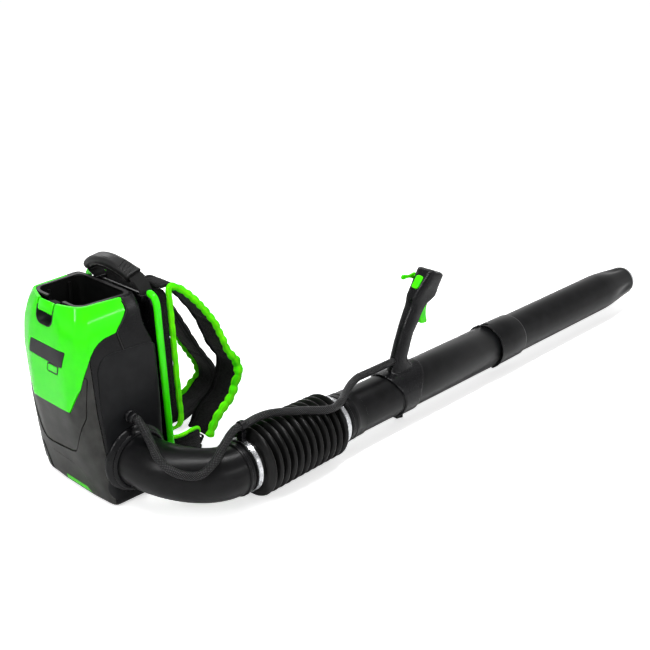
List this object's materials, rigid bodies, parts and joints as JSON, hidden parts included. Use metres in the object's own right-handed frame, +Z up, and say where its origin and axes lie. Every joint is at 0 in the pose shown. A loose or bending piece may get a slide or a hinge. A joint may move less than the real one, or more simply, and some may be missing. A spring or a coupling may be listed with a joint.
{
  "type": "backpack leaf blower",
  "caption": "Backpack blower housing with harness, side outlet elbow, bellows hose, sliding trigger handle and a straight blow tube with a tapered nozzle.",
  "frame": {"origin": "on the ground under the housing, 0.1 m in front of the housing's rear bottom edge and on the wearer's mid-plane", "axes": "+X is the wearer's forward direction and runs along the blow tube, +Y is the wearer's left, +Z is up"},
  "size_m": [1.7727, 0.484, 0.4827],
  "materials": {
    "shell_black": "satin black",
    "cover_green": "gloss lime green",
    "cover_charcoal": "satin charcoal",
    "rim_grey": "matt grey",
    "rubber_black": "matt black",
    "steel_bright": "polished",
    "steel_dark": "machined",
    "winding": "enamelled wire",
    "heat_sink": "cast",
    "webbing_black": "woven black",
    "strap_black": "padded mesh with green binding",
    "pad_black": "padded mesh with green binding"
  },
  "bodies": {
    "housing": {"top_cover": "cover_green", "rear_cover": "cover_charcoal", "right_shell": "shell_black", "left_shell": "shell_black", "battery_bay": "rim_grey", "terminal_block": "shell_black", "latch_pocket": "shell_black", "latch_pin": "steel_dark", "volute_rear": "cover_charcoal", "volute_front": "cover_charcoal", "motor_can": "steel_dark", "motor_stator": "winding", "bearing_rear": "steel_bright", "intake_grille": "shell_black", "controller": "heat_sink", "outlet_collar": "shell_black", "cable_gland": "shell_black", "back_frame": "shell_black", "rubber_mount_1": "rubber_black", "rubber_mount_2": "rubber_black", "rubber_mount_3": "rubber_black", "rubber_mount_4": "rubber_black", "frame_edging_right": "cover_green", "frame_edging_left": "cover_green", "back_pad": "pad_black", "shoulder_strap_right": "strap_black", "shoulder_strap_left": "strap_black", "strap_buckle_right": "shell_black", "strap_buckle_left": "shell_black", "strap_webbing_right": "webbing_black", "strap_webbing_left": "webbing_black", "hip_pad_right": "pad_black", "hip_pad_left": "pad_black", "carry_strap": "webbing_black", "carry_grip": "rubber_black"},
    "fan": {"fan_shaft": "steel_bright", "impeller": "shell_black", "motor_rotor": "steel_dark"},
    "latch": {"battery_latch": "cover_green"},
    "elbow": {"elbow": "shell_black", "clamp_band_rear": "steel_bright", "cable_clip": "shell_black", "cable_lower": "webbing_black", "bellows": "rubber_black"},
    "tube": {"clamp_band_front": "steel_bright", "tube_connector": "shell_black", "rear_tube": "shell_black", "middle_tube": "shell_black", "cable_middle": "webbing_black"},
    "nozzle": {"nozzle_tube": "shell_black", "nozzle_wear_ring": "steel_bright"},
    "handle": {"handle_left": "shell_black", "handle_right": "shell_black", "trigger_pin": "steel_dark", "cable_upper": "webbing_black"},
    "trigger": {"trigger": "cover_green"},
    "turbo": {"turbo_button": "cover_green"},
    "cruise": {"cruise_lever": "cover_green"},
    "knob": {"clamp_knob": "rubber_black"}
  },
  "joints": [
    {"name": "fan_spin", "type": "hinge", "parent": "housing", "child": "fan", "pos_m": [-0.06, 0.02232, 0.15], "axis": [1, 0, 0], "continuous": true},
    {"name": "latch_release", "type": "hinge", "parent": "housing", "child": "latch", "pos_m": [-0.123, 0, 0.404], "axis": [0, -1, 0], "range_deg": [0, 14], "stiffness_Nm_per_rad": 0.4, "springref_deg": -11.46},
    {"name": "elbow_swivel", "type": "hinge", "parent": "housing", "child": "elbow", "pos_m": [-0.041, -0.142, 0.098], "axis": [0, -1, 0], "range_deg": [-40, 50], "deforming": ["cable_lower"]},
    {"name": "tube_swing", "type": "hinge", "parent": "elbow", "child": "tube", "pos_m": [0.244, -0.276, 0.077], "axis": [0, 0, 1], "range_deg": [-20, 20], "stiffness_Nm_per_rad": 6, "deforming": ["bellows", "cable_middle"]},
    {"name": "nozzle_twist", "type": "hinge", "parent": "tube", "child": "nozzle", "pos_m": [0.95, -0.276, 0.077], "axis": [1, 0, 0], "range_deg": [0, 20]},
    {"name": "handle_slide", "type": "slide", "parent": "tube", "child": "handle", "axis": [1, 0, 0], "range_m": [0, 0.03], "deforming": ["cable_upper"]},
    {"name": "trigger_pull", "type": "hinge", "parent": "handle", "child": "trigger", "pos_m": [0.674, -0.276, 0.285], "axis": [0, 1, 0], "range_deg": [0, 14], "stiffness_Nm_per_rad": 0.3, "springref_deg": -17.19},
    {"name": "turbo_press", "type": "slide", "parent": "handle", "child": "turbo", "axis": [0.7547, 0, -0.6561], "range_m": [0, 0.002], "stiffness_N_per_m": 900, "springref_m": -0.001},
    {"name": "cruise_set", "type": "hinge", "parent": "handle", "child": "cruise", "pos_m": [0.678, -0.25, 0.333], "axis": [0, 1, 0], "range_deg": [0, 60]},
    {"name": "knob_turn", "type": "hinge", "parent": "handle", "child": "knob", "pos_m": [0.6, -0.276, 0.012], "axis": [0, 0, 1], "range_deg": [-180, 180]}
  ]
}
